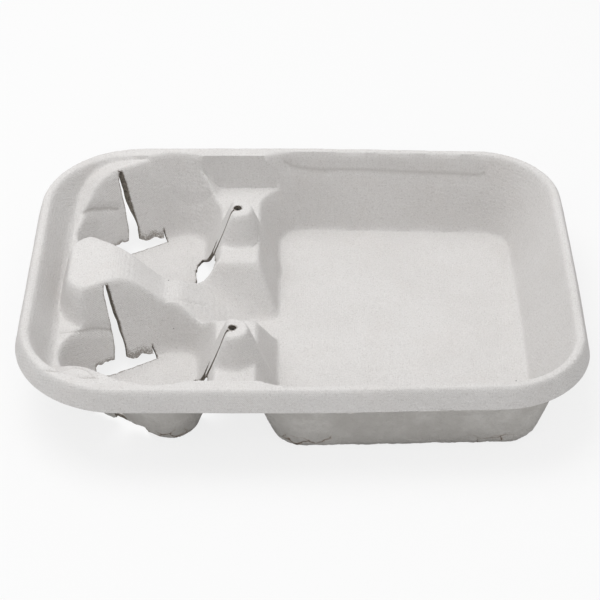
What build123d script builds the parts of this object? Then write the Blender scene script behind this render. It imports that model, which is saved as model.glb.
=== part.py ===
from build123d import *
from math import atan, cos, degrees, radians, sin, tan
import os

# Moulded pulp carrier for two cups and a meal, pressed in one piece.
#
# Millimetres, +Z up. X runs from the cup end to the food end and Y from front to
# back. The origin is the centre of the footprint, on the surface it stands on.
#
# Every wall is one pressed sheet, so the model is the solid under its upper face
# less the solid under its lower face. Each shape is made twice by the same
# function: with a skin of nothing for the upper face, and with a skin of one wall
# for the lower one.

# Overall size
overall_length = 311.0
overall_depth = 234.0
overall_height = 52.0
wall = 2.0

# Rim and the skirt turned down from it
rim_width = 4.5
rim_round = 3.0
skirt_drop = 12.0
skirt_flare = 3.5
cup_corner_radius = 60.0
food_corner_radius = 48.0
food_end_bow = 2.0
depth_taper = 4.5
taper_lead = 12.0

# Deck between the cup wells
deck_height = 30.0
deck_end_draft = 26.0
deck_round = 6.0

# Food compartment
side_draft = 12.5
food_end_draft = 22.0
divider_draft = 22.0
food_floor_round = 4.5
food_floor_corner = 16.0
corner_cut_run = 13.0
corner_cut_depth = 12.0

# Spout that runs from the saddle between the wells down into the food
spout_half_width = 9.0
spout_reach = 17.0
spout_draft = 55.0
spout_side_draft = 32.0
spout_floor_round = 6.0

# Cup wells: a rounded triangle, by the reach of its corners and of its flat sides
well_floor_radius = 40.0
well_draft = 16.0
well_rim_clearance = 15.0
well_end_clearance = 24.5
flat_floor_reach = 26.5
flat_draft = 20.8
well_floor_round = 5.0
flat_angles = (0, 120, 240)
corner_angle = 60

# Peaks that the slits run up: a post, a shoulder along the rim and the shared dome
post_height = 47.5
post_top_radius = 8.5
post_draft = 20.0
post_back_set = 3.3
post_round = 3.0
shoulder_height = 49.0
shoulder_top_radius = 13.0
shoulder_length = 28.0
shoulder_angle = 8.0
shoulder_draft = 42.0
shoulder_reach = 47.0
shoulder_round = 5.0
dome_height = 50.5
dome_top_length = 30.0
dome_top_width = 50.0
dome_end_draft = 12.0
dome_side_draft = 20.0
dome_well_draft = 48.0
dome_left_set = 45.5
dome_corner_radius = 13.0
dome_round = 7.0

# Cuts through the well walls
slit_width = 5.4
slit_shift = 2.0
slit_reach = 44.5
bar_near = 24.0
bar_far = 30.0
bar_length = 38.0
post_slit_width = 2.0
post_bar_near = 22.0
post_bar_far = 32.5
post_bar_front = 19.0
post_bar_bend = 6.0
post_bar_back = 11.0
post_bar_lean = 2.5
post_hole_radius = 2.4

# Worked out from the sizes above
half_length = overall_length / 2
half_depth = overall_depth / 2
skirt_foot = overall_height - skirt_drop
skirt_slope = skirt_flare / skirt_drop
skirt_draft = degrees(atan(skirt_slope))
mouth_inset = skirt_flare + rim_width
below = 10.0
above = 10.0
top = overall_height + above


def grow(skin, draft):
    """The horizontal distance that a drafted wall moves by when it thickens."""
    return skin / cos(radians(draft))


def run(height, draft):
    """The horizontal distance that a drafted wall covers in a height."""
    return height * tan(radians(draft))


flat_peak_reach = flat_floor_reach + run(post_height - wall, flat_draft)
well_x = -half_length + mouth_inset + well_end_clearance + well_floor_radius - wall
well_y = half_depth - mouth_inset - well_rim_clearance - well_floor_radius + wall
post_x = well_x + flat_peak_reach + post_back_set
post_foot_radius = post_top_radius + run(post_height - wall, post_draft)
divider_x = post_x + post_foot_radius - wall / 2
food_end_x = half_length - mouth_inset - run(overall_height - wall, food_end_draft)
food_side_y = half_depth - mouth_inset - run(overall_height - wall, side_draft)
taper_start = divider_x + corner_cut_run + taper_lead
dome_x = well_x - dome_left_set


def rim_outline(height, inset):
    """The tray's outline: straight at the cup end, narrower towards the food."""
    left = inset - half_length
    right = half_length - inset
    near_end = half_length - food_end_bow - inset
    back = half_depth - inset
    food_back = back - depth_taper
    with BuildSketch(Plane.XY.offset(height)) as outline:
        with BuildLine():
            Polyline((near_end, -food_back), (taper_start, -back), (left, -back))
            Line((left, -back), (left, back))
            Polyline((left, back), (taper_start, back), (near_end, food_back))
            ThreePointArc((near_end, food_back), (right, 0), (near_end, -food_back))
        make_face()
        corners = outline.vertices().group_by(Axis.X)
        fillet(corners[0], cup_corner_radius - inset)
        corners = outline.vertices().group_by(Axis.X)
        fillet(corners[-1], food_corner_radius - inset)
    return outline.sketch


def blank(skin):
    """The rim's top and flared skirt, over a core that the wells stand in."""
    inset = grow(skin, skirt_draft)
    top_height = overall_height - skin
    top_inset = inset + skirt_slope * (top_height - skirt_foot)
    low = rim_outline(skirt_foot, inset)
    high = rim_outline(top_height, top_inset)
    core_foot = -below if skin else 0
    core_inset = inset if skin else 2 * wall
    core = rim_outline(core_foot, core_inset)
    with BuildPart() as block:
        loft(sections=[low, high])
        rounded = block.faces().sort_by(Axis.Z)[-1].edges()
        fillet(rounded, rim_round - skin)
        extrude(core, amount=skirt_foot - core_foot + wall / 2, dir=(0, 0, 1))
    return block.part


def deck_outline(height, skin):
    """The recess over the cups, which opens into the food compartment."""
    fall = overall_height - height
    left = mouth_inset - half_length + run(fall, deck_end_draft)
    left -= grow(skin, deck_end_draft)
    back = half_depth - mouth_inset - run(fall, side_draft) + grow(skin, side_draft)
    radius = cup_corner_radius - mouth_inset - run(fall, side_draft) + grow(skin, side_draft)
    with BuildSketch(Plane.XY.offset(height)) as outline:
        with BuildLine():
            Polyline((left, -back), (divider_x, -back), (divider_x, back), (left, back), close=True)
        make_face()
        fillet(outline.vertices().group_by(Axis.X)[0], radius)
    return outline.sketch


def deck_recess(skin):
    foot = deck_height - skin
    with BuildPart() as recess:
        loft(sections=[deck_outline(foot, skin), deck_outline(top, skin)])
        floor_edges = recess.faces().sort_by(Axis.Z)[0].edges()
        fillet(floor_edges.sort_by(Axis.X)[:-1], deck_round + skin)
    return recess.part


def food_outline(height, skin):
    """The compartment: drafted sides, a bowed end and the divider's cut corners."""
    rise = height - wall
    end = food_end_x + run(rise, food_end_draft) + grow(skin, food_end_draft)
    near_end = end - food_end_bow
    side = food_side_y + run(rise, side_draft) + grow(skin, side_draft)
    near_side = side - depth_taper
    left = divider_x - run(rise, divider_draft) - grow(skin, divider_draft)
    cut_x = left + corner_cut_run
    cut_y = side - corner_cut_depth
    opening = (food_corner_radius - mouth_inset - food_floor_corner) / (overall_height - wall)
    radius = food_floor_corner + opening * rise + grow(skin, side_draft)
    with BuildSketch(Plane.XY.offset(height)) as outline:
        with BuildLine():
            Polyline((near_end, -near_side), (taper_start, -side), (cut_x, -side), (left, -cut_y),
                     (left, cut_y), (cut_x, side), (taper_start, side), (near_end, near_side))
            ThreePointArc((near_end, near_side), (end, 0), (near_end, -near_side))
        make_face()
        fillet(outline.vertices().group_by(Axis.X)[-1], radius)
    return outline.sketch


def food_basin(skin):
    floor = wall - skin
    with BuildPart() as basin:
        loft(sections=[food_outline(floor, skin), food_outline(top, skin)], ruled=True)
        fillet(basin.faces().sort_by(Axis.Z)[0].edges(), food_floor_round + skin)
    return basin.part


def spout_outline(height, skin):
    """A trough through the divider, which opens out to the deck as it rises."""
    rise = height - wall
    left = divider_x - spout_reach - run(rise, spout_draft) - grow(skin, spout_draft)
    right = divider_x + corner_cut_run
    width = 2 * (spout_half_width + run(rise, spout_side_draft) + grow(skin, spout_side_draft))
    with BuildSketch(Plane.XY.offset(height)) as outline:
        with Locations(((left + right) / 2, 0)):
            Rectangle(right - left, width)
    return outline.sketch


def spout(skin):
    low = spout_outline(wall - skin, skin)
    high = spout_outline(deck_height + above, skin)
    with BuildPart() as trough:
        loft(sections=[low, high], ruled=True)
        floor_edges = trough.faces().sort_by(Axis.Z)[0].edges()
        fillet(floor_edges.sort_by(Axis.X)[:-1], spout_floor_round + skin)
    return trough.part


def well_outline(height, side, skin):
    """A triangle with its corners rounded, nearly to a circle at the mouth."""
    rise = height - wall
    radius = well_floor_radius + run(rise, well_draft) + grow(skin, well_draft)
    reach = flat_floor_reach + run(rise, flat_draft) + grow(skin, flat_draft)
    with BuildSketch(Plane.XY.offset(height)) as outline:
        with Locations((well_x, side * well_y)):
            RegularPolygon(reach, len(flat_angles), major_radius=False, rotation=corner_angle)
        fillet(outline.vertices(), 2 * reach - radius)
    return outline.sketch


def well(side, skin):
    floor = wall - skin
    with BuildPart() as pocket:
        loft(sections=[well_outline(floor, side, skin), well_outline(top, side, skin)], ruled=True)
        fillet(pocket.faces().sort_by(Axis.Z)[0].edges(), well_floor_round + skin)
    return pocket.part


def post(side, skin):
    """A round peak, standing on the floor of the tray."""
    height = post_height - skin
    foot = -below if skin else 0
    high = post_top_radius + run(skin, post_draft) - grow(skin, post_draft)
    low = high + run(height - foot, post_draft)
    with BuildPart() as cone:
        with BuildSketch(Plane.XY.offset(foot)):
            with Locations((post_x, side * well_y)):
                Circle(low)
        with BuildSketch(Plane.XY.offset(height)):
            with Locations((post_x, side * well_y)):
                Circle(high)
        loft()
        fillet(cone.faces().sort_by(Axis.Z)[-1].edges(), post_round)
    return cone.part


def shoulder_outline(height, side, skin):
    """A slot shape along the rim, from the slit's top towards the post."""
    fall = shoulder_height - height
    radius = shoulder_top_radius + run(fall, shoulder_draft) - grow(skin, shoulder_draft)
    lean = radians(flat_angles[1])
    start_x = well_x + shoulder_reach * cos(lean)
    start_y = well_y + shoulder_reach * sin(lean)
    middle_x = start_x + shoulder_length / 2 * cos(radians(shoulder_angle))
    middle_y = start_y + shoulder_length / 2 * sin(radians(shoulder_angle))
    with BuildSketch(Plane.XY.offset(height)) as outline:
        with Locations((middle_x, side * middle_y)):
            SlotCenterToCenter(shoulder_length, 2 * radius, rotation=side * shoulder_angle)
    return outline.sketch


def shoulder(side, skin):
    low = shoulder_outline(deck_height - deck_round - skin, side, skin)
    high = shoulder_outline(shoulder_height - skin, side, skin)
    with BuildPart() as ridge:
        loft(sections=[low, high], ruled=True)
        fillet(ridge.faces().sort_by(Axis.Z)[-1].edges(), shoulder_round)
    return ridge.part


def dome_outline(height, skin):
    """Steep towards the rim, and falling gently to the saddle between the wells."""
    fall = dome_height - height
    left = dome_x + grow(skin, dome_end_draft) - run(fall, dome_end_draft)
    right = dome_x + dome_top_length - grow(skin, dome_well_draft) + run(fall, dome_well_draft)
    width = dome_top_width + 2 * (run(fall, dome_side_draft) - grow(skin, dome_side_draft))
    with BuildSketch(Plane.XY.offset(height)) as outline:
        with Locations(((left + right) / 2, 0)):
            RectangleRounded(right - left, width, dome_corner_radius)
    return outline.sketch


def dome(skin):
    """The wide peak between the two wells."""
    low = dome_outline(deck_height - deck_round - skin, skin)
    high = dome_outline(dome_height - skin, skin)
    with BuildPart() as hill:
        loft(sections=[low, high], ruled=True)
        fillet(hill.faces().sort_by(Axis.Z)[-1].edges(), dome_round)
    return hill.part


def pressed(skin):
    """The solid under one face of the sheet."""
    block = blank(skin)
    hollows = [deck_recess(skin), food_basin(skin), spout(skin)]
    peaks = [dome(skin)]
    wells = []
    for side in (1, -1):
        peaks.append(post(side, skin))
        peaks.append(shoulder(side, skin))
        wells.append(well(side, skin))
    with BuildPart() as form:
        add(block)
        add(hollows, mode=Mode.SUBTRACT)
        add(peaks)
        add(block, mode=Mode.INTERSECT)
        add(wells, mode=Mode.SUBTRACT)
    return form.part


def well_plane(side, angle):
    """A plane under a well's centre, with its x along the middle of a flat side."""
    lean = radians(side * angle)
    return Plane(origin=(well_x, side * well_y, -below), x_dir=(cos(lean), sin(lean), 0), z_dir=(0, 0, 1))


upper = pressed(0)
lower = pressed(wall)

with BuildPart() as pulp_carrier:
    add(upper)
    add(lower, mode=Mode.SUBTRACT)
    for side in (1, -1):
        for angle in flat_angles[1:]:
            with BuildSketch(well_plane(side, angle)):
                with Locations(((bar_near + bar_far) / 2, 0)):
                    Rectangle(bar_far - bar_near, bar_length)
                with Locations(((bar_near + slit_reach) / 2, slit_shift)):
                    Rectangle(slit_reach - bar_near, slit_width)
            extrude(amount=top + below, mode=Mode.SUBTRACT)
        # Towards the post: a narrow slit over an opening whose back edge runs in at an angle
        with BuildSketch(well_plane(side, flat_angles[0])):
            with BuildLine():
                Polyline((post_bar_near, -post_bar_front), (post_bar_far, -post_bar_front),
                         (post_bar_far, -post_bar_bend), (post_bar_near + post_bar_lean, post_bar_back),
                         (post_bar_near, post_bar_back), close=True)
            make_face()
            with Locations(((post_bar_near + slit_reach) / 2, 0)):
                Rectangle(slit_reach - post_bar_near, post_slit_width)
        extrude(amount=top + below, mode=Mode.SUBTRACT)
        with BuildSketch(Plane.XY.offset(-below)):
            with Locations((post_x, side * well_y)):
                Circle(post_hole_radius)
        extrude(amount=top + below, mode=Mode.SUBTRACT)

pulp_carrier.part.label = "pulp_carrier"
os.makedirs("parts", exist_ok=True)
export_step(pulp_carrier.part, "parts/pulp_carrier.step")
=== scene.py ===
import math

import bpy
import numpy as np
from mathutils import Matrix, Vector, noise
from mathutils.geometry import delaunay_2d_cdt


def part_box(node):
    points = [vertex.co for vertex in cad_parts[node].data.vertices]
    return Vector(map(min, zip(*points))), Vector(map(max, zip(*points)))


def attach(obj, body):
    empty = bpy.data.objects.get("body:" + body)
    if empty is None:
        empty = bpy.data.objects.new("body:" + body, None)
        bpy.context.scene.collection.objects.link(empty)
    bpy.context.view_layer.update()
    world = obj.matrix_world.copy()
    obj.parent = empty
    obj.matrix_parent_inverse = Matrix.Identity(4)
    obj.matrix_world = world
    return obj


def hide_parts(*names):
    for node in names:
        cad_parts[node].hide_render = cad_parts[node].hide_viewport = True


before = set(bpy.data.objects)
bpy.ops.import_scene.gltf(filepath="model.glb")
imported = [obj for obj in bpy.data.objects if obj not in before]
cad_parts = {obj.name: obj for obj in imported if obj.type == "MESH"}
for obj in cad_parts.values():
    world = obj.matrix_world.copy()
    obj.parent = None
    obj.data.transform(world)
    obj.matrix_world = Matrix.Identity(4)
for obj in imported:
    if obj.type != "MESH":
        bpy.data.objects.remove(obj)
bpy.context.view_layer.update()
carrierNode = "pulp_carrier"
lowCorner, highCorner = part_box(carrierNode)
mm = 0.001
print("frame loaded:", carrierNode)


def degTan(angle):
    return math.tan(math.radians(angle))


# The form of the pressed sheet, in millimetres
sheetForm = {
    "halfLength": (highCorner.x - lowCorner.x) / mm / 2,
    "halfDepth": (highCorner.y - lowCorner.y) / mm / 2,
    "height": (highCorner.z - lowCorner.z) / mm,
    "wall": 2.0,
    "cupCorner": 60.0,       # outline radius at the cup end
    "foodCorner": 48.0,      # outline radius at the food end
    "endBow": 2.0,
    "depthTaper": 4.5,       # each side comes in by this much at the food end
    "taperStart": 11.1,
    "skirtDrop": 12.0,
    "skirtFlare": 3.5,
    "rimWidth": 4.5,
    "rimSoft": 3.2,          # how softly the rim rolls over
    "mouthSoft": 3.4,        # how softly the other edges roll over
}

foodForm = {
    "sideDraft": 12.5,
    "endDraft": 22.0,
    "dividerDraft": 22.0,
    "dividerX": -13.9,
    "backCorner": 15.0,      # corner radius beside the divider
    "floorCorner": 16.0,     # and at the food end, where it opens out to the rim
    "footSoft": 3.2,
    "cornerSearch": 80.0,    # how far up the height of a corner is looked for
    "halvings": 24,
}

# The trough that runs from the saddle between the wells down into the food
spoutForm = {
    "halfWidth": 9.0,
    "reach": 17.0,
    "draft": 55.0,
    "sideDraft": 32.0,
    "soft": 12.0,
    "lipSoft": 10.0,         # how softly it opens through the divider
}

deckForm = {
    "height": 30.0,
    "endDraft": 25.0,
    "wallDraft": 5.0,
    "wallY": 102.5,          # foot of the wall behind the deck
    "cornerRadius": 44.0,
    "footSoft": 7.0,
    "endRise": 10.0,         # how fast the deck gives way to the food compartment
}

wellForm = {
    "x": -85.0,
    "y": 56.0,
    "flatReach": 26.5,
    "flatDraft": 20.8,
    "cornerReach": 40.0,
    "cornerDraft": 16.0,
    "footSoft": 6.0,
    "flatAngles": (0.0, 120.0, 240.0),
}

peakForm = {
    "postHeight": 47.8,
    "postX": -37.9,
    "postTop": 8.5,
    "postDraft": 20.0,
    "postSoft": 3.0,
    "shoulderHeight": 50.0,
    "shoulderTop": 12.0,
    "shoulderReach": 47.0,   # from the well's centre, along its flat side's middle
    "shoulderLength": 30.0,
    "shoulderAngle": 8.0,
    "shoulderDraft": 40.0,
    "fanDraft": 57.0,        # the gentle side, towards the cup end
    "shoulderSoft": 7.0,
    "domeHeight": 51.0,
    "domeLeft": -131.5,
    "domeRight": -101.0,
    "domeHalfWidth": 26.5,
    "domeLeftDraft": 14.0,
    "domeRightDraft": 48.0,
    "domeSideDraft": 20.0,
    "domeCorner": 15.0,
    "domeSoft": 9.0,
}

# Torn openings, as distances out from a well's centre and along its flat side
cutForm = {
    "leaning": ((23.7, -17.0), (23.5, 0.0), (23.7, 13.0), (27.0, 19.5), (28.6, 19.0), (28.7, 13.0),
                (28.9, 7.0), (31.0, 5.2), (36.0, 4.6), (42.0, 4.6), (44.5, 3.6), (44.3, 1.4),
                (42.0, 0.8), (36.0, -0.4), (31.0, -1.4), (28.4, -0.6), (27.2, -4.0), (27.7, -10.0),
                (26.6, -15.8), (28.8, -16.8), (28.8, -17.2), (25.6, -17.5)),
    "towardsPost": ((22.0, -13.0), (21.3, -1.0), (22.2, 5.5), (25.0, 10.5), (28.6, 4.5), (30.4, 2.4),
                    (34.0, 2.6), (34.0, 1.6), (31.6, -0.2), (31.8, -3.6), (38.2, -4.6), (44.9, -1.4),
                    (45.2, -2.8), (38.4, -6.2), (33.0, -7.0), (33.4, -13.0), (34.0, -18.0), (32.6, -20.5),
                    (25.0, -17.5)),
    "holeRadius": 2.3,
    "holeSteps": 14,
    "ragged": 0.45,
    "raggedSize": 2.6,
    "seed": 5,
    "seedStep": 3.7,         # so that no two cuts are torn alike
    "holeSeed": 11.3,
    "step": 1.0,
    "edgeReach": 0.01,
    "stainReach": 0.9,       # how far the torn, dirty fibre shows beside a cut
    "fullReach": 2.4,        # and below the petal that is torn across
    "petal": slice(15, 19),  # the points of a leaning cut that run below that petal
    "tearDepth": 3.6 * mm,   # how far the sheet hangs on one side of a slit
    "tearSide": -0.5,
    "tearReach": 1.6,
    "tearLow": 31.0,
    "tearHigh": 38.0,
    "tearEnd": 46.0,
    "tearFar": 2.2,          # the side of the slit from which nothing hangs
    "tearShares": (0.75, 0.3),   # of the depth, at the back well and at the front one
}

# Folds pressed into the upper face, in millimetres seen from above, with how deep each is; the depth also
# sets how much painted shade each fold gets
creaseForm = {
    "lines": ((1.0, ((-131.0, 71.0), (-124.0, 77.0), (-117.0, 80.5), (-111.0, 83.0))),
              (0.9, ((-134.0, -38.0), (-126.0, -37.0), (-116.0, -32.0), (-106.0, -28.0))),
              (1.0, ((-134.0, -96.5), (-125.0, -97.5), (-116.0, -99.5), (-108.0, -100.0))),
              (0.8, ((-128.0, -87.0), (-120.0, -89.0), (-113.0, -94.0), (-108.0, -100.0))),
              (0.7, ((-25.5, 51.0), (-26.0, 46.0), (-29.5, 41.5))),
              (0.8, ((-11.0, 107.0), (30.0, 106.0), (70.0, 104.5), (111.0, 103.0))),
              (0.7, ((-78.0, -10.0), (-66.0, -5.5), (-55.0, 0.5))),
              (0.6, ((-79.0, 100.0), (-66.0, 97.5), (-54.0, 93.5)))),
    "step": 1.0,
    "reach": 0.8,
    "depth": 0.9 * mm,
}

gridForm = {
    "coarse": 2.1,
    "fine": 1.05,
    "steep": 0.45,           # the slope from which the fine grid is used
    "clear": 0.55,           # how near a grid point may come to an edge
    "jitter": 0.12,
    "seed": 7,
    "outlineSteps": 900,
    "halvings": 40,
    "outlineSlack": 0.02,    # how far outside the outline a triangle's middle may lie
    "joinGap": 1e-5,
}


def softMax(a, b, k):
    share = np.clip(0.5 + 0.5 * (a - b) / k, 0, 1)
    return b * (1 - share) + a * share + k * share * (1 - share)


def softMin(a, b, k):
    return -softMax(-a, -b, k)


def drop(dx, dy, radius, runX, runY):
    # How far a drafted wall round a corner has moved, in height, at an offset from the corner's centre
    px, py = np.maximum(dx, 0), np.maximum(dy, 0)
    reach = np.hypot(px, py) + 1e-9
    return (reach - radius) / (np.hypot(px * runX, py * runY) / reach + 1e-9)


def openingCorner(dx, dy, radius, runX, runY, runCorner):
    # The height of two drafted walls and the round corner between them, whose radius grows with height
    height = np.maximum(dx / runX, dy / runY)
    low, high = height, height + foodForm["cornerSearch"]
    for _ in range(foodForm["halvings"]):
        middle = (low + high) / 2
        size = np.maximum(radius + runCorner * middle, 1)
        px, py = dx - runX * middle + size, dy - runY * middle + size
        outside = np.hypot(np.maximum(px, 0), np.maximum(py, 0)) > size
        low, high = np.where(outside, middle, low), np.where(outside, high, middle)
    return (low + high) / 2


def taperAt(x):
    s = sheetForm
    span = s["halfLength"] - s["endBow"] - s["taperStart"]
    return s["depthTaper"] * np.clip((x - s["taperStart"]) / span, 0, 1)


def insetAt(x, y):
    # Distance inwards from the skirt's lower edge
    s = sheetForm
    ax = x + np.where(x > 0, s["endBow"] * (y / s["halfDepth"]) ** 2, 0)
    ay = np.abs(y) + taperAt(x)
    radius = np.where(x < 0, s["cupCorner"], s["foodCorner"])
    qx = np.abs(ax) - s["halfLength"] + radius
    qy = ay - s["halfDepth"] + radius
    outside = np.hypot(np.maximum(qx, 0), np.maximum(qy, 0))
    return radius - outside - np.minimum(np.maximum(qx, qy), 0)


def spoutRise(x, y):
    p = spoutForm
    ramp = (foodForm["dividerX"] - p["reach"] - x) / degTan(p["draft"])
    sides = (np.abs(y) - p["halfWidth"]) / degTan(p["sideDraft"])
    return softMax(ramp, sides, p["soft"])


def foodSurface(x, y):
    s, f = sheetForm, foodForm
    inset = s["skirtFlare"] + s["rimWidth"]
    depth = s["height"] - s["wall"]
    endRun, sideRun, dividerRun = degTan(f["endDraft"]), degTan(f["sideDraft"]), degTan(f["dividerDraft"])
    endX = s["halfLength"] - inset - depth * endRun
    sideY = s["halfDepth"] - inset - depth * sideRun
    radius = f["floorCorner"]
    cornerRun = (s["foodCorner"] - inset - radius) / depth
    ay = np.abs(y) + taperAt(x)
    bow = s["endBow"] * (y / sideY) ** 2
    outer = openingCorner(x + bow - endX, ay - sideY, radius, endRun, sideRun, cornerRun)
    corner = f["backCorner"]
    divider = drop(f["dividerX"] + corner - x, ay - (sideY - corner), corner, dividerRun, sideRun)
    divider = softMin(divider, spoutRise(x, y), spoutForm["lipSoft"])
    walls = s["wall"] + np.maximum(outer, divider)
    return softMax(walls, np.full_like(x, s["wall"]), f["footSoft"])


def deckSurface(x, y):
    s, d = sheetForm, deckForm
    rise = s["height"] - d["height"]
    endRun, wallRun = degTan(d["endDraft"]), degTan(d["wallDraft"])
    left = -s["halfLength"] + s["skirtFlare"] + s["rimWidth"] + rise * endRun
    radius = d["cornerRadius"]
    beyondWall = np.abs(y) - (d["wallY"] - radius)
    walls = d["height"] + drop(left + radius - x, beyondWall, radius, endRun, wallRun)
    surface = softMax(walls, np.full_like(x, d["height"]), d["footSoft"])
    return surface + d["endRise"] * np.maximum(0, x - foodForm["dividerX"])


def shoulderRise(x, ay):
    # A ridge along the rim, with one end fanned out towards the cup end
    p, w = peakForm, wellForm
    lean, turn = math.radians(w["flatAngles"][1]), math.radians(p["shoulderAngle"])
    dx = x - w["x"] - p["shoulderReach"] * math.cos(lean)
    dy = ay - w["y"] - p["shoulderReach"] * math.sin(lean)
    along = np.clip(dx * math.cos(turn) + dy * math.sin(turn), 0, p["shoulderLength"])
    dx, dy = dx - along * math.cos(turn), dy - along * math.sin(turn)
    reach = np.hypot(dx, dy) + 1e-9
    fan = np.clip(-dx / reach, 0, 1)
    run = degTan(p["shoulderDraft"]) * (1 - fan) + degTan(p["fanDraft"]) * fan
    return p["shoulderHeight"] - (reach - p["shoulderTop"]) / run


def domeRise(x, ay):
    p = peakForm
    radius = p["domeCorner"]
    towardsRim = x < (p["domeLeft"] + p["domeRight"]) / 2
    dx = np.where(towardsRim, p["domeLeft"] + radius - x, x - p["domeRight"] + radius)
    runX = np.where(towardsRim, degTan(p["domeLeftDraft"]), degTan(p["domeRightDraft"]))
    beyondSide = ay - (p["domeHalfWidth"] - radius)
    return p["domeHeight"] - drop(dx, beyondSide, radius, runX, degTan(p["domeSideDraft"]))


def peakSurface(x, y):
    p, w = peakForm, wellForm
    ay = np.abs(y)
    post = p["postHeight"] - (np.hypot(x - p["postX"], ay - w["y"]) - p["postTop"]) / degTan(p["postDraft"])
    post = softMin(np.full_like(x, p["postHeight"]), post, p["postSoft"])
    shoulder = softMin(np.full_like(x, p["shoulderHeight"]), shoulderRise(x, ay), p["shoulderSoft"])
    dome = softMin(np.full_like(x, p["domeHeight"]), domeRise(x, ay), p["domeSoft"])
    return np.maximum(np.maximum(post, shoulder), dome)


def wellSurface(x, y, side):
    # A rounded triangle whose flat sides and corners both open out with height
    s, w = sheetForm, wellForm
    dx, dy = x - w["x"], y - side * w["y"]
    third = 2 * math.pi / 3
    turn = np.arctan2(dy, dx)
    turn = turn - third * np.round(turn / third)
    reach = np.hypot(dx, dy)
    px, py = reach * np.cos(turn), reach * np.abs(np.sin(turn))
    flatRun, cornerRun = degTan(w["flatDraft"]), degTan(w["cornerDraft"])
    flat = (px - w["flatReach"]) / flatRun
    round0 = 2 * w["flatReach"] - w["cornerReach"]
    roundRun = 2 * flatRun - cornerRun
    inner0, innerRun = w["flatReach"] - round0, roundRun - flatRun
    root3 = math.sqrt(3)
    a = px - inner0
    b = py - root3 * inner0
    qa = 4 * innerRun ** 2 - roundRun ** 2
    qb = 2 * innerRun * (a + root3 * b) - 2 * round0 * roundRun
    qc = a ** 2 + b ** 2 - round0 ** 2
    corner = (-qb - np.sqrt(np.maximum(qb ** 2 - 4 * qa * qc, 0))) / (2 * qa)
    height = np.where(py <= root3 * (inner0 - innerRun * np.maximum(flat, 0)), flat, corner)
    return softMax(s["wall"] + height, np.full_like(x, s["wall"]), w["footSoft"])


def sheetHeight(x, y):
    s = sheetForm
    soft = s["mouthSoft"]
    surface = softMin(deckSurface(x, y), foodSurface(x, y), soft)
    surface = softMax(surface, peakSurface(x, y), soft)
    for side in (1, -1):
        surface = softMin(surface, wellSurface(x, y, side), soft)
    surface = softMin(surface, np.full_like(x, s["height"]), s["rimSoft"])
    skirt = s["height"] - s["skirtDrop"] + insetAt(x, y) * s["skirtDrop"] / s["skirtFlare"]
    return softMin(surface, skirt, s["rimSoft"])


def evenly(points, step, closed=True):
    # The same line or loop, with a point at every step
    line = []
    for start, end in zip(points, points[1:] + points[:1] if closed else points[1:]):
        count = max(1, round(math.dist(start, end) / step))
        for i in range(count):
            share = i / count
            line.append((start[0] + (end[0] - start[0]) * share, start[1] + (end[1] - start[1]) * share))
    return line if closed else line + [points[-1]]


def torn(loop, seed):
    c = cutForm
    moved = []
    for x, y in loop:
        shift = noise.noise_vector(Vector((x / c["raggedSize"], y / c["raggedSize"], seed)))
        moved.append((x + shift.x * c["ragged"], y + shift.y * c["ragged"]))
    return moved


def fromWell(s, t, side, angle):
    # From distances out of a well and along its flat side to the sheet's own x and y
    lean = math.radians(side * angle)
    return (wellForm["x"] + s * math.cos(lean) - t * math.sin(lean),
            side * wellForm["y"] + s * math.sin(lean) + t * math.cos(lean))


def cutLoops():
    # The torn opening in each flat side of the wells, and the hole in the top of each post
    c = cutForm
    noise.seed_set(c["seed"])
    loops = []
    for side in (1, -1):
        for number, angle in enumerate(wellForm["flatAngles"]):
            outline = c["leaning"] if angle else c["towardsPost"]
            placed = [fromWell(s, t, side, angle) for s, t in outline]
            loops.append(torn(evenly(placed, c["step"]), side * (number + 1) * c["seedStep"]))
        turns = [2 * math.pi * k / c["holeSteps"] for k in range(c["holeSteps"])]
        ring = [(peakForm["postX"] + c["holeRadius"] * math.cos(turn),
                 side * wellForm["y"] + c["holeRadius"] * math.sin(turn)) for turn in turns]
        loops.append(torn(ring, side * c["holeSeed"]))
    return loops


def nearness(points, line, reach):
    # 1 on a line of points, fading to 0 within about twice the reach
    fade = np.zeros(len(points))
    ring = np.array(line)
    low, high = ring.min(0) - 4 * reach, ring.max(0) + 4 * reach
    close = np.all((points > low) & (points < high), axis=1)
    if close.any():
        gaps = np.linalg.norm(points[close][:, None] - ring[None], axis=2).min(1)
        fade[close] = np.exp(-(gaps / reach) ** 2)
    return fade


def smoothStep(value, low, high):
    share = np.clip((value - low) / (high - low), 0, 1)
    return share * share * (3 - 2 * share)


def outlineLoop():
    # The skirt's lower edge, found along rays from the middle
    s = sheetForm
    count = gridForm["outlineSteps"]
    turn = np.arange(count) * 2 * math.pi / count
    low, high = np.zeros(count), np.full(count, 2 * s["halfLength"])
    for _ in range(gridForm["halvings"]):
        middle = (low + high) / 2
        inside = insetAt(middle * np.cos(turn), middle * np.sin(turn)) > 0
        low, high = np.where(inside, middle, low), np.where(inside, high, middle)
    return list(zip(low * np.cos(turn), low * np.sin(turn)))


def insideLoop(points, loop):
    x, y = points[:, 0], points[:, 1]
    inside = np.zeros(len(points), bool)
    for (ax, ay), (bx, by) in zip(loop, loop[1:] + loop[:1]):
        crosses = (ay > y) != (by > y)
        inside ^= crosses & (x < ax + (bx - ax) * (y - ay) / (by - ay + 1e-12))
    return inside


def hexGrid(pitch):
    s = sheetForm
    rows = np.arange(-s["halfDepth"], s["halfDepth"], pitch * math.sqrt(3) / 2)
    columns = np.arange(-s["halfLength"], s["halfLength"], pitch)
    x, y = np.meshgrid(columns, rows)
    x = x + (np.arange(len(rows)) % 2)[:, None] * pitch / 2
    return np.stack([x.ravel(), y.ravel()], 1)


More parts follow.
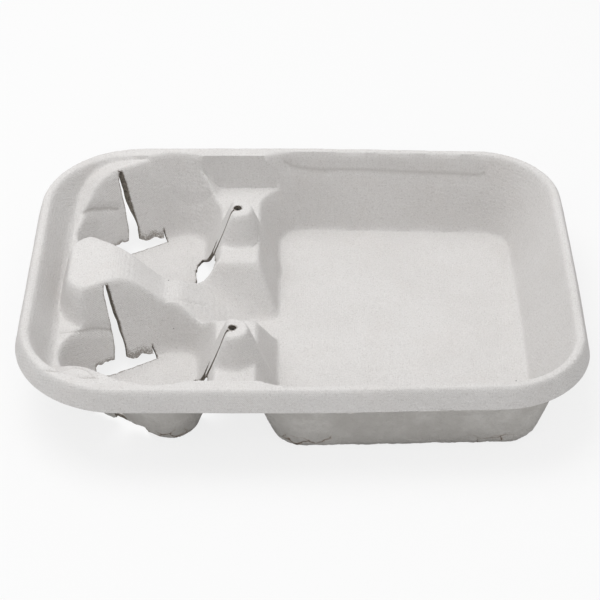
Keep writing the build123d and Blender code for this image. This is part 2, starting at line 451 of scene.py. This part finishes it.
def slopeAt(points, reach):
    x, y = points[:, 0], points[:, 1]
    steepest = np.zeros(len(points))
    centre = sheetHeight(x, y)
    for turn in np.arange(8) * math.pi / 4:
        step = sheetHeight(x + reach * math.cos(turn), y + reach * math.sin(turn))
        steepest = np.maximum(steepest, np.abs(step - centre) / reach)
    return steepest


def clearOf(grid, line, gap, closed=True):
    # The grid without the points that lie inside a loop, or too near to its line
    ring = np.array(line)
    near = np.all((grid > ring.min(0) - 1) & (grid < ring.max(0) + 1), axis=1)
    away = np.full(len(grid), np.inf)
    if near.any():
        away[near] = np.linalg.norm(grid[near][:, None] - ring[None], axis=2).min(1)
    inside = insideLoop(grid, line) if closed else np.zeros(len(grid), bool)
    return grid[~inside & (away > gap)]


def markSheet(mesh, points, loops, creases):
    # What the cuts and folds leave on the sheet, kept as attributes for the nodes to read
    c = cutForm
    cutEdge, stain, tear, crease = (np.zeros(len(points)) for _ in range(4))
    for loop in loops:
        cutEdge = np.maximum(cutEdge, nearness(points, loop, c["edgeReach"]))
        stain = np.maximum(stain, nearness(points, loop, c["stainReach"]))
    for side, angle, share in ((1, wellForm["flatAngles"][1], c["tearShares"][0]),
                               (-1, wellForm["flatAngles"][2], c["tearShares"][1])):
        lean = math.radians(side * angle)
        dx, dy = points[:, 0] - wellForm["x"], points[:, 1] - side * wellForm["y"]
        out = dx * math.cos(lean) + dy * math.sin(lean)
        along = dy * math.cos(lean) - dx * math.sin(lean)
        beside = np.exp(-(np.minimum(along - c["tearSide"], 0) / c["tearReach"]) ** 2)
        beside = beside * (along < c["tearFar"])
        upTheSlit = smoothStep(out, c["tearLow"], c["tearHigh"]) * (out < c["tearEnd"])
        tear = np.maximum(tear, beside * upTheSlit * share)
        lower = [fromWell(s, t, side, angle) for s, t in c["leaning"][c["petal"]]]
        stain = np.maximum(stain, nearness(points, evenly(lower, c["step"], closed=False), c["fullReach"]))
    for depth, line in creases:
        crease = np.maximum(crease, depth * nearness(points, line, creaseForm["reach"]))
    for name, values in (("cutEdge", cutEdge), ("stain", stain), ("tear", tear), ("crease", crease)):
        mesh.attributes.new(name, "FLOAT", "POINT").data.foreach_set("value", values.astype(np.float32))


def sheetMesh():
    g = gridForm
    random = np.random.default_rng(g["seed"])
    coarse, fine = hexGrid(g["coarse"]), hexGrid(g["fine"])
    coarse = coarse[slopeAt(coarse, g["coarse"]) < g["steep"]]
    fine = fine[slopeAt(fine, g["coarse"]) >= g["steep"]]
    grid = np.concatenate([coarse, fine])
    grid = grid + random.uniform(-g["jitter"], g["jitter"], grid.shape)
    grid = grid[insetAt(grid[:, 0], grid[:, 1]) > g["clear"]]
    cuts = cutLoops()
    creases = []
    for depth, line in creaseForm["lines"]:
        creases.append((depth, evenly(list(line), creaseForm["step"], closed=False)))
    edges, corners = [], []
    for loop in [outlineLoop()] + cuts:
        start = len(corners)
        corners += loop
        edges += [(start + i, start + (i + 1) % len(loop)) for i in range(len(loop))]
    for _, line in creases:
        start = len(corners)
        corners += line
        edges += [(start + i, start + i + 1) for i in range(len(line) - 1)]
        grid = clearOf(grid, line, g["clear"], closed=False)
    for loop in cuts:
        grid = clearOf(grid, loop, g["clear"])
    flat = [Vector(p) for p in corners] + [Vector(p) for p in grid.tolist()]
    points, _, faces = delaunay_2d_cdt(flat, edges, [], 0, g["joinGap"])[:3]
    points = np.array([tuple(p) for p in points])
    faces = np.array([tuple(f) for f in faces])
    middles = points[faces].mean(1)
    keep = insetAt(middles[:, 0], middles[:, 1]) > -g["outlineSlack"]
    for loop in cuts:
        keep &= ~insideLoop(middles, loop)
    used, faces = np.unique(faces[keep], return_inverse=True)
    faces = faces.reshape(-1, 3)
    points = points[used]
    corner = np.column_stack([points, sheetHeight(points[:, 0], points[:, 1])])
    first, second, third = (corner[faces[:, i]] for i in range(3))
    turned = np.cross(second - first, third - first)[:, 2] < 0
    faces[turned] = faces[turned][:, ::-1]
    mesh = bpy.data.meshes.new("pulpSheetForm")
    mesh.from_pydata((corner * mm).tolist(), [], faces.tolist())
    mesh.update()
    markSheet(mesh, points, cuts, creases)
    print("sheet mesh:", len(corner), "points", len(faces), "triangles")
    return mesh


def addNode(tree, kind, inputs=None, **settings):
    made = tree.nodes.new(kind)
    for key, value in settings.items():
        setattr(made, key, value)
    for key, value in (inputs or {}).items():
        if isinstance(value, bpy.types.NodeSocket):
            tree.links.new(value, made.inputs[key])
        else:
            made.inputs[key].default_value = value
    return made


def calc(tree, operation, a, b=0.0, c=0.0):
    return addNode(tree, "ShaderNodeMath", {0: a, 1: b, 2: c}, operation=operation).outputs[0]


def pulpNoise(tree, vector, size, detail=3.0, rough=0.55, distortion=0.0):
    made = addNode(tree, "ShaderNodeTexNoise", {"Vector": vector, "Scale": 1 / size, "Detail": detail,
                                                "Roughness": rough, "Distortion": distortion})
    return made.outputs["Fac"]


def ramp(tree, value, low, high, outLow=0.0, outHigh=1.0, smooth=True):
    made = addNode(tree, "ShaderNodeMapRange", {"Value": value, "From Min": low, "From Max": high,
                                                "To Min": outLow, "To Max": outHigh})
    made.interpolation_type = "SMOOTHSTEP" if smooth else "LINEAR"
    return made.outputs["Result"]


def tint(tree, factor, below, above):
    made = addNode(tree, "ShaderNodeMix", data_type="RGBA")
    for socket, value in ((made.inputs[0], factor), (made.inputs[6], below), (made.inputs[7], above)):
        if isinstance(value, bpy.types.NodeSocket):
            tree.links.new(value, socket)
        else:
            socket.default_value = value
    return made.outputs[2]


# In the looks, a range is the noise's low and high, then what they become
pulpLook = {
    "colour": (0.690, 0.675, 0.664, 1),
    "shade": (0.585, 0.566, 0.550, 1),
    "warm": (0.660, 0.625, 0.600, 1),
    "fibreDark": (0.44, 0.42, 0.40, 1),
    "fibreLight": (0.80, 0.79, 0.78, 1),
    # painted shade: the colour that the pressed folds are darkened towards, standing in for the shade in them
    "tornColour": (0.20, 0.175, 0.15, 1),
    "foldShadeColour": (0.40, 0.38, 0.36, 1),
    "broadSize": 45 * mm,
    "mottleSize": 3.2 * mm,
    "grainSize": 0.9 * mm,
    "fibreSize": 2.4 * mm,
    "fibreTurn": (0.3, 0.2, 0.7),
    "fibreScale": (1, 4, 2),
    "warmShare": 0.6,
    "broadRange": (0.3, 0.62, 0.70, 1.0),
    "warmRange": (0.5, 0.72, 0, 0.20),
    "mottleRange": (0.52, 0.72, 0, 0.30),
    "darkGrain": (0.53, 0.68, 0, 0.50),
    "lightGrain": (0.46, 0.32, 0, 0.55),
    "darkFibre": (0.5, 0.012, 0.18),      # the noise's level, the width of a thread and its strength
    "lightFibre": (0.62, 0.012, 0.30),
    # how strongly the painted shade along the folds darkens the colour
    "foldShadeRange": (0.45, 1.0, 0, 0.55),
    "raggedRange": (0.30, 0.56, 0.35, 1.0),
    "stainRange": (0.30, 0.95, 0, 0.80),
    "meshPitch": 1.05 * mm,
    "meshWander": 1.6 * mm,
    "wanderSize": 5 * mm,
    "meshDepth": 0.050 * mm,
    "grainDepth": 0.26 * mm,
    "lumpDepth": 0.50 * mm,
    "roughness": 0.93,
    "specular": 0.2,
}

underLook = {
    "colour": (0.640, 0.622, 0.598, 1),
    "shade": (0.500, 0.482, 0.458, 1),
    "pitColour": (0.20, 0.18, 0.16, 1),
    "crackColour": (0.13, 0.10, 0.08, 1),
    "rustColour": (0.36, 0.22, 0.12, 1),
    "broadSize": 22 * mm,
    "mottleSize": 4.0 * mm,
    "grainSize": 1.1 * mm,
    "crackSize": 11 * mm,
    "crackWidth": 0.035,
    "crackLow": 3 * mm,      # cracks keep to the foot of the walls, between these heights
    "crackHigh": 9 * mm,
    "crackDepth": 0.6 * mm,
    "crackStrength": 0.9,
    "bendSize": 7 * mm,
    "bendReach": 9 * mm,
    "patchSize": 30 * mm,
    "patchRange": (0.50, 0.62),
    "broadRange": (0.3, 0.7),
    "mottleRange": (0.35, 0.62, 0.55, 0),
    "fineCracks": (0.38, 0.28, 0, 0.5),
    "pitRange": (0.27, 0.34, 0.8, 0),
    "rustRange": (0.0, 0.10, 0.5, 0),
    "grainDepth": 0.32 * mm,
    "lumpDepth": 0.95 * mm,
    "roughness": 0.97,
    "specular": 0.2,
}

tornLook = {
    "colour": (0.30, 0.27, 0.235, 1),
    "shade": (0.10, 0.085, 0.07, 1),
    "fibreSize": 1.3 * mm,
    "fibreRange": (0.35, 0.62),
    "fibreDepth": 0.8 * mm,
    "roughness": 0.98,
    "specular": 0.1,
}

# Rare flecks of coloured and dark fibre, with the share of flecks from which each colour starts
speckLook = {
    "spacing": 14 * mm,
    "smallest": 0.02,
    "largest": 0.045,
    "rarity": 0.62,
    "strength": 0.7,
    "colours": ((0.0, (0.12, 0.11, 0.11, 1)),
                (0.34, (0.10, 0.14, 0.36, 1)),
                (0.45, (0.52, 0.22, 0.20, 1)),
                (0.60, (0.55, 0.36, 0.16, 1)),
                (0.72, (0.24, 0.22, 0.08, 1)),
                (0.82, (0.22, 0.21, 0.21, 1))),
}


def specks(tree, coords, colour):
    look = speckLook
    cells = addNode(tree, "ShaderNodeTexVoronoi", {"Vector": coords, "Scale": 1 / look["spacing"]})
    parts = addNode(tree, "ShaderNodeSeparateColor", {0: cells.outputs["Color"]})
    size = ramp(tree, parts.outputs[0], 0.0, 1.0, look["smallest"], look["largest"], smooth=False)
    spot = calc(tree, "LESS_THAN", cells.outputs["Distance"], size)
    spot = calc(tree, "MULTIPLY", spot, calc(tree, "GREATER_THAN", parts.outputs[1], look["rarity"]))
    hues = addNode(tree, "ShaderNodeValToRGB", {0: parts.outputs[2]})
    hues.color_ramp.interpolation = "CONSTANT"
    stops = hues.color_ramp.elements
    while len(stops) < len(look["colours"]):
        stops.new(1.0)
    for stop, (place, hue) in zip(stops, look["colours"]):
        stop.position, stop.color = place, hue
    return tint(tree, calc(tree, "MULTIPLY", spot, look["strength"]), colour, hues.outputs[0])


def newMaterial(name, look):
    material = bpy.data.materials.new(name)
    material.use_nodes = True
    tree = material.node_tree
    shader = tree.nodes["Principled BSDF"]
    shader.inputs["Roughness"].default_value = look["roughness"]
    shader.inputs["Specular IOR Level"].default_value = look["specular"]
    return material, tree, shader, addNode(tree, "ShaderNodeTexCoord").outputs["Object"]


def bumped(tree, shader, height):
    bump = addNode(tree, "ShaderNodeBump", {"Height": height, "Strength": 1.0, "Distance": 1.0})
    tree.links.new(bump.outputs[0], shader.inputs["Normal"])


def marked(tree, name):
    return addNode(tree, "ShaderNodeAttribute", attribute_name=name).outputs["Fac"]


def threads(tree, noiseValue, level, width, strength):
    # Hair-thin lines where a noise passes through a level
    away = calc(tree, "ABSOLUTE", calc(tree, "SUBTRACT", noiseValue, level))
    return ramp(tree, away, 0.0, width, strength, 0)


def screenMarks(tree, coords, look):
    # The fine square mesh that the forming screen leaves
    uneven = pulpNoise(tree, coords, look["wanderSize"], detail=2)
    wander = calc(tree, "MULTIPLY", uneven, look["meshWander"])
    split = addNode(tree, "ShaderNodeSeparateXYZ", {0: coords})
    turn = 2 * math.pi / look["meshPitch"]
    waves = []
    for axis in (0, 1):
        along = calc(tree, "ADD", calc(tree, "ADD", split.outputs[axis], split.outputs[2]), wander)
        waves.append(calc(tree, "SINE", calc(tree, "MULTIPLY", along, turn)))
    return calc(tree, "MULTIPLY", calc(tree, "ADD", waves[0], waves[1]), look["meshDepth"])


def pulpMaterial():
    look = pulpLook
    material, tree, shader, coords = newMaterial("pressedPulp", look)
    broad = pulpNoise(tree, coords, look["broadSize"], detail=4)
    warmth = pulpNoise(tree, coords, look["broadSize"] * look["warmShare"], detail=3, distortion=0.6)
    mottle = pulpNoise(tree, coords, look["mottleSize"], detail=6, rough=0.7)
    grain = pulpNoise(tree, coords, look["grainSize"], detail=4, rough=0.7)
    colour = tint(tree, ramp(tree, broad, *look["broadRange"]), look["shade"], look["colour"])
    colour = tint(tree, ramp(tree, warmth, *look["warmRange"]), colour, look["warm"])
    colour = tint(tree, ramp(tree, mottle, *look["mottleRange"]), colour, look["shade"])
    colour = tint(tree, ramp(tree, grain, *look["darkGrain"]), colour, look["fibreDark"])
    colour = tint(tree, ramp(tree, grain, *look["lightGrain"]), colour, look["fibreLight"])
    stretched = addNode(tree, "ShaderNodeMapping", {"Vector": coords, "Rotation": look["fibreTurn"],
                                                    "Scale": look["fibreScale"]})
    fibre = pulpNoise(tree, stretched.outputs[0], look["fibreSize"], detail=2, distortion=2.5)
    colour = tint(tree, threads(tree, fibre, *look["darkFibre"]), colour, look["fibreDark"])
    colour = tint(tree, threads(tree, fibre, *look["lightFibre"]), colour, look["fibreLight"])
    colour = specks(tree, coords, colour)
    # Painted shade along the pressed folds, darker where a fold is deeper
    colour = tint(tree, ramp(tree, marked(tree, "crease"), *look["foldShadeRange"]), colour, look["foldShadeColour"])
    ragged = calc(tree, "MULTIPLY", marked(tree, "stain"), ramp(tree, grain, *look["raggedRange"]))
    colour = tint(tree, ramp(tree, ragged, *look["stainRange"]), colour, look["tornColour"])
    tree.links.new(colour, shader.inputs["Base Color"])
    height = calc(tree, "MULTIPLY_ADD", grain, look["grainDepth"], screenMarks(tree, coords, look))
    bumped(tree, shader, calc(tree, "MULTIPLY_ADD", mottle, look["lumpDepth"], height))
    return material


def underMaterial():
    look = underLook
    material, tree, shader, coords = newMaterial("roughPulp", look)
    broad = pulpNoise(tree, coords, look["broadSize"], detail=4)
    mottle = pulpNoise(tree, coords, look["mottleSize"], detail=6, rough=0.75)
    grain = pulpNoise(tree, coords, look["grainSize"], detail=5, rough=0.75)
    # Cracks run round the lumps near the foot of the walls, and only here and there
    bend = addNode(tree, "ShaderNodeTexNoise", {"Vector": coords, "Scale": 1 / look["bendSize"],
                                                "Detail": 4.0})
    bend = addNode(tree, "ShaderNodeVectorMath", {0: bend.outputs["Color"], "Scale": look["bendReach"]},
                   operation="SCALE")
    bent = addNode(tree, "ShaderNodeVectorMath", {0: coords, 1: bend.outputs[0]}, operation="ADD")
    cells = addNode(tree, "ShaderNodeTexVoronoi", {"Vector": bent.outputs[0], "Scale": 1 / look["crackSize"]},
                    feature="DISTANCE_TO_EDGE")
    patches = ramp(tree, pulpNoise(tree, coords, look["patchSize"], detail=2), *look["patchRange"])
    height = addNode(tree, "ShaderNodeSeparateXYZ", {0: bent.outputs[0]}).outputs[2]
    middle = (look["crackLow"] + look["crackHigh"]) / 2
    away = calc(tree, "ABSOLUTE", calc(tree, "SUBTRACT", height, middle))
    foot = ramp(tree, away, (look["crackHigh"] - look["crackLow"]) / 2, look["crackHigh"], 1, 0)
    patches = calc(tree, "MULTIPLY", patches, foot)
    gap = cells.outputs["Distance"]
    crack = calc(tree, "MULTIPLY", ramp(tree, gap, 0.0, look["crackWidth"], 1, 0), patches)
    colour = tint(tree, ramp(tree, broad, *look["broadRange"]), look["shade"], look["colour"])
    colour = tint(tree, ramp(tree, mottle, *look["mottleRange"]), colour, look["shade"])
    colour = tint(tree, ramp(tree, grain, *look["fineCracks"]), colour, look["pitColour"])
    colour = tint(tree, ramp(tree, mottle, *look["pitRange"]), colour, look["pitColour"])
    rust = calc(tree, "MULTIPLY", ramp(tree, gap, *look["rustRange"]), patches)
    colour = tint(tree, rust, colour, look["rustColour"])
    colour = tint(tree, calc(tree, "MULTIPLY", crack, look["crackStrength"]), colour, look["crackColour"])
    tree.links.new(colour, shader.inputs["Base Color"])
    height = calc(tree, "MULTIPLY", mottle, look["lumpDepth"])
    height = calc(tree, "MULTIPLY_ADD", grain, look["grainDepth"], height)
    bumped(tree, shader, calc(tree, "MULTIPLY_ADD", crack, -look["crackDepth"], height))
    return material


def tornMaterial():
    look = tornLook
    material, tree, shader, coords = newMaterial("tornPulp", look)
    fibre = pulpNoise(tree, coords, look["fibreSize"], detail=5, rough=0.8, distortion=1.2)
    colour = tint(tree, ramp(tree, fibre, *look["fibreRange"]), look["shade"], look["colour"])
    tree.links.new(colour, shader.inputs["Base Color"])
    bumped(tree, shader, calc(tree, "MULTIPLY", fibre, look["fibreDepth"]))
    return material


# What pressing gives the sheet: its wall, its waves and a rough back
reliefForm = {
    "Wall": sheetForm["wall"] * mm,
    "Wave Height": 0.35 * mm,
    "Wave Size": 28 * mm,
    "Dimple Height": 0.12 * mm,
    "Dimple Size": 5 * mm,
    "Pit Depth": 0.7 * mm,
    "Pit Size": 3.5 * mm,
    "Pit Seed": 5.0,
    "Tear Depth": cutForm["tearDepth"],
    "Fold Depth": creaseForm["depth"],
    "Seed": 3.0,
}
edgeShare = 0.9              # of a face's corners that lie on a cut
mergeGap = 0.002 * mm
sharpAngle = 55


def pressTree():
    tree = bpy.data.node_groups.new("pressSheet", "GeometryNodeTree")
    tree.interface.new_socket("Sheet", in_out="INPUT", socket_type="NodeSocketGeometry")
    for name in reliefForm:
        tree.interface.new_socket(name, in_out="INPUT", socket_type="NodeSocketFloat")
    for name in ("Upper Face", "Lower Face", "Torn Edge"):
        tree.interface.new_socket(name, in_out="INPUT", socket_type="NodeSocketMaterial")
    tree.interface.new_socket("Pressed", in_out="OUTPUT", socket_type="NodeSocketGeometry")
    given = tree.nodes.new("NodeGroupInput").outputs
    place = addNode(tree, "GeometryNodeInputPosition").outputs[0]
    facing = addNode(tree, "GeometryNodeInputNormal").outputs[0]

    def relief(size, seed, detail):
        texture = addNode(tree, "ShaderNodeTexNoise", {"Vector": place, "W": seed, "Detail": detail,
                                                       "Scale": calc(tree, "DIVIDE", 1.0, size)},
                          noise_dimensions="4D")
        return calc(tree, "MULTIPLY", calc(tree, "SUBTRACT", texture.outputs["Fac"], 0.5), 2.0)

    def named(name, kind="FLOAT"):
        return addNode(tree, "GeometryNodeInputNamedAttribute", {"Name": name}, data_type=kind).outputs[0]

    def moved(geometry, height, chosen=True):
        offset = addNode(tree, "ShaderNodeVectorMath", {0: facing, "Scale": height}, operation="SCALE")
        return addNode(tree, "GeometryNodeSetPosition", {"Geometry": geometry, "Selection": chosen,
                                                         "Offset": offset.outputs[0]}).outputs[0]

    def faceMark(geometry, name, value):
        return addNode(tree, "GeometryNodeStoreNamedAttribute",
                       {"Geometry": geometry, "Name": name, "Value": value},
                       data_type="BOOLEAN", domain="FACE").outputs[0]

    # The upper face: broad waves, small dimples and the pressed folds
    broad = relief(given["Wave Size"], given["Seed"], 2.0)
    small = relief(given["Dimple Size"], given["Seed"], 2.0)
    waves = calc(tree, "MULTIPLY", broad, given["Wave Height"])
    waves = calc(tree, "MULTIPLY_ADD", small, given["Dimple Height"], waves)
    folds = calc(tree, "MULTIPLY", named("crease"), given["Fold Depth"])
    waved = moved(given["Sheet"], calc(tree, "SUBTRACT", waves, folds))
    # The lower face: one wall away, pitted, and hanging lower where the sheet is torn
    inwards = calc(tree, "MULTIPLY", given["Wall"], -1.0)
    under = addNode(tree, "GeometryNodeExtrudeMesh",
                    {"Mesh": waved, "Individual": False, "Offset Scale": inwards}, mode="FACES")
    pits = relief(given["Pit Size"], calc(tree, "ADD", given["Seed"], given["Pit Seed"]), 4.0)
    pits = calc(tree, "MULTIPLY", pits, given["Pit Depth"])
    hang = calc(tree, "MULTIPLY", given["Tear Depth"], -1.0)
    uneven = calc(tree, "MULTIPLY_ADD", named("tear"), hang, pits)
    pitted = moved(under.outputs["Mesh"], uneven, under.outputs["Top"])
    sided = faceMark(pitted, "sideFace", under.outputs["Side"])
    turned = addNode(tree, "GeometryNodeFlipFaces", {"Mesh": sided}).outputs[0]
    backed = faceMark(turned, "lowerFace", True)
    joined = addNode(tree, "GeometryNodeJoinGeometry")
    tree.links.new(waved, joined.inputs[0])
    tree.links.new(backed, joined.inputs[0])
    merged = addNode(tree, "GeometryNodeMergeByDistance", {"Geometry": joined.outputs[0],
                                                           "Distance": mergeGap})
    # Nothing hangs below the surface it stands on
    spread = addNode(tree, "ShaderNodeSeparateXYZ", {0: place})
    lifted = calc(tree, "MAXIMUM", spread.outputs[2], 0.0)
    level = addNode(tree, "ShaderNodeCombineXYZ", {0: spread.outputs[0], 1: spread.outputs[1], 2: lifted})
    stood = addNode(tree, "GeometryNodeSetPosition", {"Geometry": merged.outputs[0],
                                                      "Position": level.outputs[0]})
    smooth = addNode(tree, "GeometryNodeSetShadeSmooth", {0: stood.outputs[0]})
    made = addNode(tree, "GeometryNodeRealizeInstances", {0: smooth.outputs[0]}).outputs[0]
    onCut = calc(tree, "GREATER_THAN", named("cutEdge"), edgeShare)
    onSide, below = named("sideFace", "BOOLEAN"), named("lowerFace", "BOOLEAN")
    tornOnly = addNode(tree, "FunctionNodeBooleanMath", {0: onSide, 1: onCut}).outputs[0]
    for chosen, socket in ((True, "Upper Face"), (below, "Lower Face"), (tornOnly, "Torn Edge")):
        made = addNode(tree, "GeometryNodeSetMaterial", {"Geometry": made, "Selection": chosen,
                                                         "Material": given[socket]}).outputs[0]
    last = tree.nodes.new("NodeGroupOutput")
    tree.links.new(made, last.inputs[0])
    return tree


def pressSheet(upper, lower, edge):
    start = bpy.data.objects.new("pulpSheetStart", sheetMesh())
    start.data.materials.append(upper)
    bpy.context.scene.collection.objects.link(start)
    press = start.modifiers.new("press", "NODES")
    press.node_group = pressTree()
    given = [item for item in press.node_group.interface.items_tree if item.in_out == "INPUT"]
    sockets = {item.name: item.identifier for item in given}
    for name, value in reliefForm.items():
        press[sockets[name]] = value
    for name, material in (("Upper Face", upper), ("Lower Face", lower), ("Torn Edge", edge)):
        press[sockets[name]] = material
    evaluated = start.evaluated_get(bpy.context.evaluated_depsgraph_get())
    mesh = bpy.data.meshes.new_from_object(evaluated)
    mesh.name = "pulpSheet"
    bpy.data.objects.remove(start)
    mesh.set_sharp_from_angle(angle=math.radians(sharpAngle))
    piece = bpy.data.objects.new("pulpSheet", mesh)
    bpy.context.scene.collection.objects.link(piece)
    mesh.calc_loop_triangles()
    print("pressed sheet:", len(mesh.loop_triangles), "triangles,", [m.name for m in mesh.materials])
    return piece


carrier = pressSheet(pulpMaterial(), underMaterial(), tornMaterial())
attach(carrier, "root")
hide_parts(carrierNode)


studio = {
    "floorHalf": 6.0,
    "floorColour": (0.73, 0.73, 0.73, 1),
    "floorRoughness": 0.9,
    "floorSpecular": 0.1,
    "floorWhite": 0.80,      # the share of plain white that the camera sees in the floor
    "skyStrength": 0.62,
    "keyPlace": (-0.35, 0.2, 1.35),
    "keySize": 0.9,
    "keyPower": 11.5,
    "fillPlace": (-0.15, -1.3, 1.25),
    "fillSize": 1.3,
    "fillPower": 3.2,
    "lampAim": (0, 0, 0.02),
    "cameraElevation": 38.0,
    "cameraDistance": 1.10271,
    "cameraAim": (-1.25 * mm, 11.3 * mm, 14.2 * mm),
    "cameraLens": 114.2,
    "cameraSensor": 36,
}


def makeFloor():
    mesh = bpy.data.meshes.new("floor")
    half = studio["floorHalf"]
    corners = [(-half, -half, 0), (half, -half, 0), (half, half, 0), (-half, half, 0)]
    mesh.from_pydata(corners, [], [(0, 1, 2, 3)])
    floor = bpy.data.objects.new("floor", mesh)
    bpy.context.scene.collection.objects.link(floor)
    material = bpy.data.materials.new("paleFloor")
    material.use_nodes = True
    tree = material.node_tree
    shader = tree.nodes["Principled BSDF"]
    shader.inputs["Base Color"].default_value = studio["floorColour"]
    shader.inputs["Roughness"].default_value = studio["floorRoughness"]
    shader.inputs["Specular IOR Level"].default_value = studio["floorSpecular"]
    # The camera sees mostly white, with the shadow left in
    white = addNode(tree, "ShaderNodeEmission", {"Color": (1, 1, 1, 1), "Strength": 1.0})
    seen = addNode(tree, "ShaderNodeLightPath").outputs["Is Camera Ray"]
    mixed = addNode(tree, "ShaderNodeMixShader", {0: calc(tree, "MULTIPLY", seen, studio["floorWhite"]),
                                                  1: shader.outputs[0], 2: white.outputs[0]})
    tree.links.new(mixed.outputs[0], tree.nodes["Material Output"].inputs["Surface"])
    mesh.materials.append(material)


def makeSky():
    world = bpy.data.worlds.new("sky")
    world.use_nodes = True
    tree = world.node_tree
    background = tree.nodes["Background"]
    seen = addNode(tree, "ShaderNodeLightPath").outputs["Is Camera Ray"]
    background.inputs["Color"].default_value = (1, 1, 1, 1)
    strength = ramp(tree, seen, 0, 1, studio["skyStrength"], 1.0, smooth=False)
    tree.links.new(strength, background.inputs["Strength"])
    bpy.context.scene.world = world


def makeLamp(name, place, size, power):
    light = bpy.data.lights.new(name, "AREA")
    light.size = size
    light.energy = power
    lamp = bpy.data.objects.new(name, light)
    lamp.location = place
    lamp.rotation_euler = (Vector(studio["lampAim"]) - Vector(place)).to_track_quat("-Z", "Y").to_euler()
    bpy.context.scene.collection.objects.link(lamp)


def makeCamera():
    lens = bpy.data.cameras.new("camera")
    lens.lens = studio["cameraLens"]
    lens.sensor_width = studio["cameraSensor"]
    camera = bpy.data.objects.new("camera", lens)
    tilt = math.radians(studio["cameraElevation"])
    back = Vector((0, -math.cos(tilt), math.sin(tilt))) * studio["cameraDistance"]
    camera.location = Vector(studio["cameraAim"]) + back
    camera.rotation_euler = (math.pi / 2 - tilt, 0, 0)
    bpy.context.scene.collection.objects.link(camera)
    bpy.context.scene.camera = camera


makeFloor()
makeSky()
makeLamp("keyLamp", studio["keyPlace"], studio["keySize"], studio["keyPower"])
makeLamp("fillLamp", studio["fillPlace"], studio["fillSize"], studio["fillPower"])
makeCamera()
bpy.context.scene.view_settings.view_transform = "Standard"
print("studio ready")
